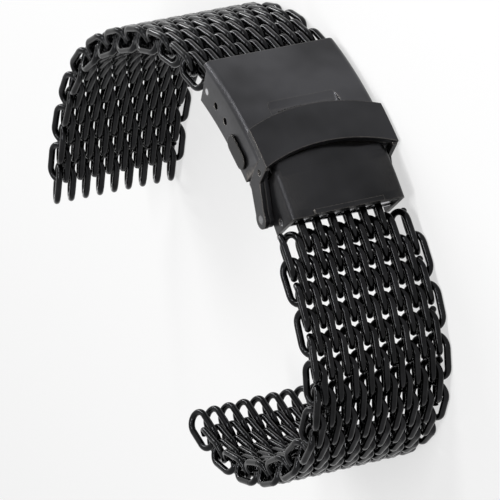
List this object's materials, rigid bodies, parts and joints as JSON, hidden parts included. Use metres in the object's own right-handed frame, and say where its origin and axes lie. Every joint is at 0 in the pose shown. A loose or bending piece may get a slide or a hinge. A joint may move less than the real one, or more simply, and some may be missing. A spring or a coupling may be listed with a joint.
{
  "type": "mesh watch band",
  "caption": "Mesh watch band: spiral wire rows hinged edge to edge in two straps, joined by a folding clasp with flip lock, side buttons and adjust holes, end loops for the watch's spring bars.",
  "frame": {"origin": "mid width on the axis of the watch's spring bar in the end loops of the upper strap", "axes": "+Z across the band's width towards its upper edge in the stored pose, parallel to every hinge; +X from the upper strap's eye towards the lower strap's; +Y from the eyes towards the clasp"},
  "size_m": [0.082, 0.066, 0.022],
  "materials": {
    "mesh_wire": "dark plated, polished",
    "clasp_black": "satin black coating on steel",
    "blade_steel": "dark satin",
    "pin_steel": "turned steel",
    "bar_steel": "bright turned steel"
  },
  "bodies": {
    "cover": {"cover": "clasp_black", "latch_spring": "blade_steel", "blade_pin_upper": "pin_steel", "blade_pin_lower": "pin_steel", "flip_rivet_upper": "pin_steel", "flip_rivet_lower": "pin_steel", "adjust_bar_tube": "bar_steel"},
    "flip_lock": {"flip_lock": "clasp_black"},
    "blade_1": {"blade_1": "blade_steel", "mid_pin": "pin_steel"},
    "end_blade": {"blade_2": "blade_steel", "end_piece": "clasp_black", "end_bar_tube": "bar_steel"},
    "button_upper": {"button_upper": "clasp_black"},
    "button_lower": {"button_lower": "clasp_black"},
    "adjust_tip_upper": {"adjust_tip_upper": "bar_steel"},
    "adjust_tip_lower": {"adjust_tip_lower": "bar_steel"},
    "end_tip_upper": {"end_tip_upper": "bar_steel"},
    "end_tip_lower": {"end_tip_lower": "bar_steel"},
    "upper_row_01": {"upper_row_01": "mesh_wire"},
    "upper_row_02": {"upper_row_02": "mesh_wire"},
    "upper_row_03": {"upper_row_03": "mesh_wire"},
    "upper_row_04": {"upper_row_04": "mesh_wire"},
    "upper_row_05": {"upper_row_05": "mesh_wire"},
    "upper_row_06": {"upper_row_06": "mesh_wire"},
    "upper_row_07": {"upper_row_07": "mesh_wire"},
    "upper_row_08": {"upper_row_08": "mesh_wire"},
    "upper_row_09": {"upper_row_09": "mesh_wire"},
    "upper_row_10": {"upper_row_10": "mesh_wire"},
    "upper_row_11": {"upper_row_11": "mesh_wire"},
    "upper_row_12": {"upper_row_12": "mesh_wire"},
    "upper_row_13": {"upper_row_13": "mesh_wire"},
    "upper_row_14": {"upper_row_14": "mesh_wire"},
    "upper_row_15": {"upper_row_15": "mesh_wire"},
    "upper_row_16": {"upper_row_16": "mesh_wire"},
    "upper_row_17": {"upper_row_17": "mesh_wire"},
    "upper_row_18": {"upper_row_18": "mesh_wire"},
    "upper_row_19": {"upper_row_19": "mesh_wire"},
    "upper_row_20": {"upper_row_20": "mesh_wire"},
    "lower_row_01": {"lower_row_01": "mesh_wire"},
    "lower_row_02": {"lower_row_02": "mesh_wire"},
    "lower_row_03": {"lower_row_03": "mesh_wire"},
    "lower_row_04": {"lower_row_04": "mesh_wire"},
    "lower_row_05": {"lower_row_05": "mesh_wire"},
    "lower_row_06": {"lower_row_06": "mesh_wire"},
    "lower_row_07": {"lower_row_07": "mesh_wire"},
    "lower_row_08": {"lower_row_08": "mesh_wire"},
    "lower_row_09": {"lower_row_09": "mesh_wire"},
    "lower_row_10": {"lower_row_10": "mesh_wire"},
    "lower_row_11": {"lower_row_11": "mesh_wire"},
    "lower_row_12": {"lower_row_12": "mesh_wire"},
    "lower_row_13": {"lower_row_13": "mesh_wire"},
    "lower_row_14": {"lower_row_14": "mesh_wire"},
    "lower_row_15": {"lower_row_15": "mesh_wire"},
    "lower_row_16": {"lower_row_16": "mesh_wire"},
    "lower_row_17": {"lower_row_17": "mesh_wire"},
    "lower_row_18": {"lower_row_18": "mesh_wire"},
    "lower_row_19": {"lower_row_19": "mesh_wire"},
    "lower_row_20": {"lower_row_20": "mesh_wire"}
  },
  "joints": [
    {"name": "flip_lock_hinge", "type": "hinge", "parent": "cover", "child": "flip_lock", "pos_m": [0.04601, 0.05545, 0], "axis": [0, 0, -1], "range_deg": [0, 65]},
    {"name": "blade_1_hinge", "type": "hinge", "parent": "cover", "child": "blade_1", "pos_m": [0.04102, 0.05695, 0], "axis": [0, 0, 1], "range_deg": [0, 165]},
    {"name": "blade_2_hinge", "type": "hinge", "parent": "blade_1", "child": "end_blade", "pos_m": [0.02805, 0.05652, 0], "axis": [0, 0, 1], "range_deg": [-165, 0]},
    {"name": "button_upper_press", "type": "slide", "parent": "cover", "child": "button_upper", "axis": [0, 0, -1], "range_m": [0, 0.0006], "stiffness_N_per_m": 250},
    {"name": "button_lower_press", "type": "slide", "parent": "cover", "child": "button_lower", "axis": [0, 0, 1], "range_m": [0, 0.0006], "stiffness_N_per_m": 250},
    {"name": "adjust_tip_upper_press", "type": "slide", "parent": "cover", "child": "adjust_tip_upper", "axis": [0, 0, -1], "range_m": [0, 0.00075], "stiffness_N_per_m": 200},
    {"name": "adjust_tip_lower_press", "type": "slide", "parent": "cover", "child": "adjust_tip_lower", "axis": [0, 0, 1], "range_m": [0, 0.00075], "stiffness_N_per_m": 200},
    {"name": "end_tip_upper_press", "type": "slide", "parent": "end_blade", "child": "end_tip_upper", "axis": [0, 0, -1], "range_m": [0, 0.00075], "stiffness_N_per_m": 200},
    {"name": "end_tip_lower_press", "type": "slide", "parent": "end_blade", "child": "end_tip_lower", "axis": [0, 0, 1], "range_m": [0, 0.00075], "stiffness_N_per_m": 200},
    {"name": "upper_row_01_hinge", "type": "hinge", "parent": "cover", "child": "upper_row_01", "pos_m": [0.02481, 0.0577, 0], "axis": [0, 0, 1], "range_deg": [-23.5, 16.5]},
    {"name": "upper_row_02_hinge", "type": "hinge", "parent": "upper_row_01", "child": "upper_row_02", "pos_m": [0.02162, 0.05676, 0], "axis": [0, 0, -1], "range_deg": [-15.5, 24.5]},
    {"name": "upper_row_03_hinge", "type": "hinge", "parent": "upper_row_02", "child": "upper_row_03", "pos_m": [0.01822, 0.05545, 0], "axis": [0, 0, 1], "range_deg": [-25.5, 14.5]},
    {"name": "upper_row_04_hinge", "type": "hinge", "parent": "upper_row_03", "child": "upper_row_04", "pos_m": [0.01495, 0.05381, 0], "axis": [0, 0, -1], "range_deg": [-13.5, 26.5]},
    {"name": "upper_row_05_hinge", "type": "hinge", "parent": "upper_row_04", "child": "upper_row_05", "pos_m": [0.01189, 0.05182, 0], "axis": [0, 0, 1], "range_deg": [-27.5, 12.5]},
    {"name": "upper_row_06_hinge", "type": "hinge", "parent": "upper_row_05", "child": "upper_row_06", "pos_m": [0.00912, 0.04945, 0], "axis": [0, 0, -1], "range_deg": [-13.9, 26.1]},
    {"name": "upper_row_07_hinge", "type": "hinge", "parent": "upper_row_06", "child": "upper_row_07", "pos_m": [0.00662, 0.04679, 0], "axis": [0, 0, 1], "range_deg": [-24.8, 15.2]},
    {"name": "upper_row_08_hinge", "type": "hinge", "parent": "upper_row_07", "child": "upper_row_08", "pos_m": [0.00434, 0.04394, 0], "axis": [0, 0, -1], "range_deg": [-16.6, 23.4]},
    {"name": "upper_row_09_hinge", "type": "hinge", "parent": "upper_row_08", "child": "upper_row_09", "pos_m": [0.00224, 0.04095, 0], "axis": [0, 0, 1], "range_deg": [-22, 18]},
    {"name": "upper_row_10_hinge", "type": "hinge", "parent": "upper_row_09", "child": "upper_row_10", "pos_m": [0.00024, 0.0379, 0], "axis": [0, 0, -1], "range_deg": [-16.6, 23.4]},
    {"name": "upper_row_11_hinge", "type": "hinge", "parent": "upper_row_10", "child": "upper_row_11", "pos_m": [-0.00157, 0.03473, 0], "axis": [0, 0, 1], "range_deg": [-24.8, 15.2]},
    {"name": "upper_row_12_hinge", "type": "hinge", "parent": "upper_row_11", "child": "upper_row_12", "pos_m": [-0.00312, 0.03143, 0], "axis": [0, 0, -1], "range_deg": [-13.9, 26.1]},
    {"name": "upper_row_13_hinge", "type": "hinge", "parent": "upper_row_12", "child": "upper_row_13", "pos_m": [-0.0043, 0.02797, 0], "axis": [0, 0, 1], "range_deg": [-27.5, 12.5]},
    {"name": "upper_row_14_hinge", "type": "hinge", "parent": "upper_row_13", "child": "upper_row_14", "pos_m": [-0.00503, 0.0244, 0], "axis": [0, 0, -1], "range_deg": [-12.9, 27.1]},
    {"name": "upper_row_15_hinge", "type": "hinge", "parent": "upper_row_14", "child": "upper_row_15", "pos_m": [-0.0053, 0.02076, 0], "axis": [0, 0, 1], "range_deg": [-26.8, 13.2]},
    {"name": "upper_row_16_hinge", "type": "hinge", "parent": "upper_row_15", "child": "upper_row_16", "pos_m": [-0.00515, 0.01711, 0], "axis": [0, 0, -1], "range_deg": [-13.6, 26.4]},
    {"name": "upper_row_17_hinge", "type": "hinge", "parent": "upper_row_16", "child": "upper_row_17", "pos_m": [-0.00459, 0.0135, 0], "axis": [0, 0, 1], "range_deg": [-26, 14]},
    {"name": "upper_row_18_hinge", "type": "hinge", "parent": "upper_row_17", "child": "upper_row_18", "pos_m": [-0.00365, 0.00997, 0], "axis": [0, 0, -1], "range_deg": [-16, 24]},
    {"name": "upper_row_19_hinge", "type": "hinge", "parent": "upper_row_18", "child": "upper_row_19", "pos_m": [-0.00248, 0.00652, 0], "axis": [0, 0, 1], "range_deg": [-22, 18]},
    {"name": "upper_row_20_hinge", "type": "hinge", "parent": "upper_row_19", "child": "upper_row_20", "pos_m": [-0.00118, 0.00311, 0], "axis": [0, 0, -1], "range_deg": [-20, 20]},
    {"name": "lower_row_01_hinge", "type": "hinge", "parent": "end_blade", "child": "lower_row_01", "pos_m": [0.04838, 0.05747, 0], "axis": [0, 0, 1], "range_deg": [-20, 20]},
    {"name": "lower_row_02_hinge", "type": "hinge", "parent": "lower_row_01", "child": "lower_row_02", "pos_m": [0.05161, 0.05665, 0], "axis": [0, 0, -1], "range_deg": [-21.6, 18.4]},
    {"name": "lower_row_03_hinge", "type": "hinge", "parent": "lower_row_02", "child": "lower_row_03", "pos_m": [0.05512, 0.05566, 0], "axis": [0, 0, 1], "range_deg": [-16.8, 23.2]},
    {"name": "lower_row_04_hinge", "type": "hinge", "parent": "lower_row_03", "child": "lower_row_04", "pos_m": [0.05857, 0.05446, 0], "axis": [0, 0, -1], "range_deg": [-24.9, 15.1]},
    {"name": "lower_row_05_hinge", "type": "hinge", "parent": "lower_row_04", "child": "lower_row_05", "pos_m": [0.0619, 0.05298, 0], "axis": [0, 0, 1], "range_deg": [-13.5, 26.5]},
    {"name": "lower_row_06_hinge", "type": "hinge", "parent": "lower_row_05", "child": "lower_row_06", "pos_m": [0.06505, 0.05113, 0], "axis": [0, 0, -1], "range_deg": [-28.6, 11.4]},
    {"name": "lower_row_07_hinge", "type": "hinge", "parent": "lower_row_06", "child": "lower_row_07", "pos_m": [0.06788, 0.04883, 0], "axis": [0, 0, 1], "range_deg": [-9.2, 30.8]},
    {"name": "lower_row_08_hinge", "type": "hinge", "parent": "lower_row_07", "child": "lower_row_08", "pos_m": [0.07024, 0.04604, 0], "axis": [0, 0, -1], "range_deg": [-32.9, 7.1]},
    {"name": "lower_row_09_hinge", "type": "hinge", "parent": "lower_row_08", "child": "lower_row_09", "pos_m": [0.07191, 0.0428, 0], "axis": [0, 0, 1], "range_deg": [-5, 35]},
    {"name": "lower_row_10_hinge", "type": "hinge", "parent": "lower_row_09", "child": "lower_row_10", "pos_m": [0.07269, 0.03923, 0], "axis": [0, 0, -1], "range_deg": [-32.6, 7.4]},
    {"name": "lower_row_11_hinge", "type": "hinge", "parent": "lower_row_10", "child": "lower_row_11", "pos_m": [0.07267, 0.03558, 0], "axis": [0, 0, 1], "range_deg": [-9.8, 30.2]},
    {"name": "lower_row_12_hinge", "type": "hinge", "parent": "lower_row_11", "child": "lower_row_12", "pos_m": [0.072, 0.03199, 0], "axis": [0, 0, -1], "range_deg": [-27.9, 12.1]},
    {"name": "lower_row_13_hinge", "type": "hinge", "parent": "lower_row_12", "child": "lower_row_13", "pos_m": [0.07084, 0.02853, 0], "axis": [0, 0, 1], "range_deg": [-14.5, 25.5]},
    {"name": "lower_row_14_hinge", "type": "hinge", "parent": "lower_row_13", "child": "lower_row_14", "pos_m": [0.06936, 0.02519, 0], "axis": [0, 0, -1], "range_deg": [-25.8, 14.2]},
    {"name": "lower_row_15_hinge", "type": "hinge", "parent": "lower_row_14", "child": "lower_row_15", "pos_m": [0.06755, 0.02202, 0], "axis": [0, 0, 1], "range_deg": [-14, 26]},
    {"name": "lower_row_16_hinge", "type": "hinge", "parent": "lower_row_15", "child": "lower_row_16", "pos_m": [0.06542, 0.01906, 0], "axis": [0, 0, -1], "range_deg": [-26.2, 13.8]},
    {"name": "lower_row_17_hinge", "type": "hinge", "parent": "lower_row_16", "child": "lower_row_17", "pos_m": [0.06298, 0.01635, 0], "axis": [0, 0, 1], "range_deg": [-13.5, 26.5]},
    {"name": "lower_row_18_hinge", "type": "hinge", "parent": "lower_row_17", "child": "lower_row_18", "pos_m": [0.06025, 0.01393, 0], "axis": [0, 0, -1], "range_deg": [-28.2, 11.8]},
    {"name": "lower_row_19_hinge", "type": "hinge", "parent": "lower_row_18", "child": "lower_row_19", "pos_m": [0.0572, 0.01192, 0], "axis": [0, 0, 1], "range_deg": [-10.2, 29.8]},
    {"name": "lower_row_20_hinge", "type": "hinge", "parent": "lower_row_19", "child": "lower_row_20", "pos_m": [0.05385, 0.01046, 0], "axis": [0, 0, -1], "range_deg": [-31.5, 8.5]}
  ],
  "couplings": [
    {"joint": "blade_2_hinge", "follows": "blade_1_hinge", "ratio": -1}
  ]
}
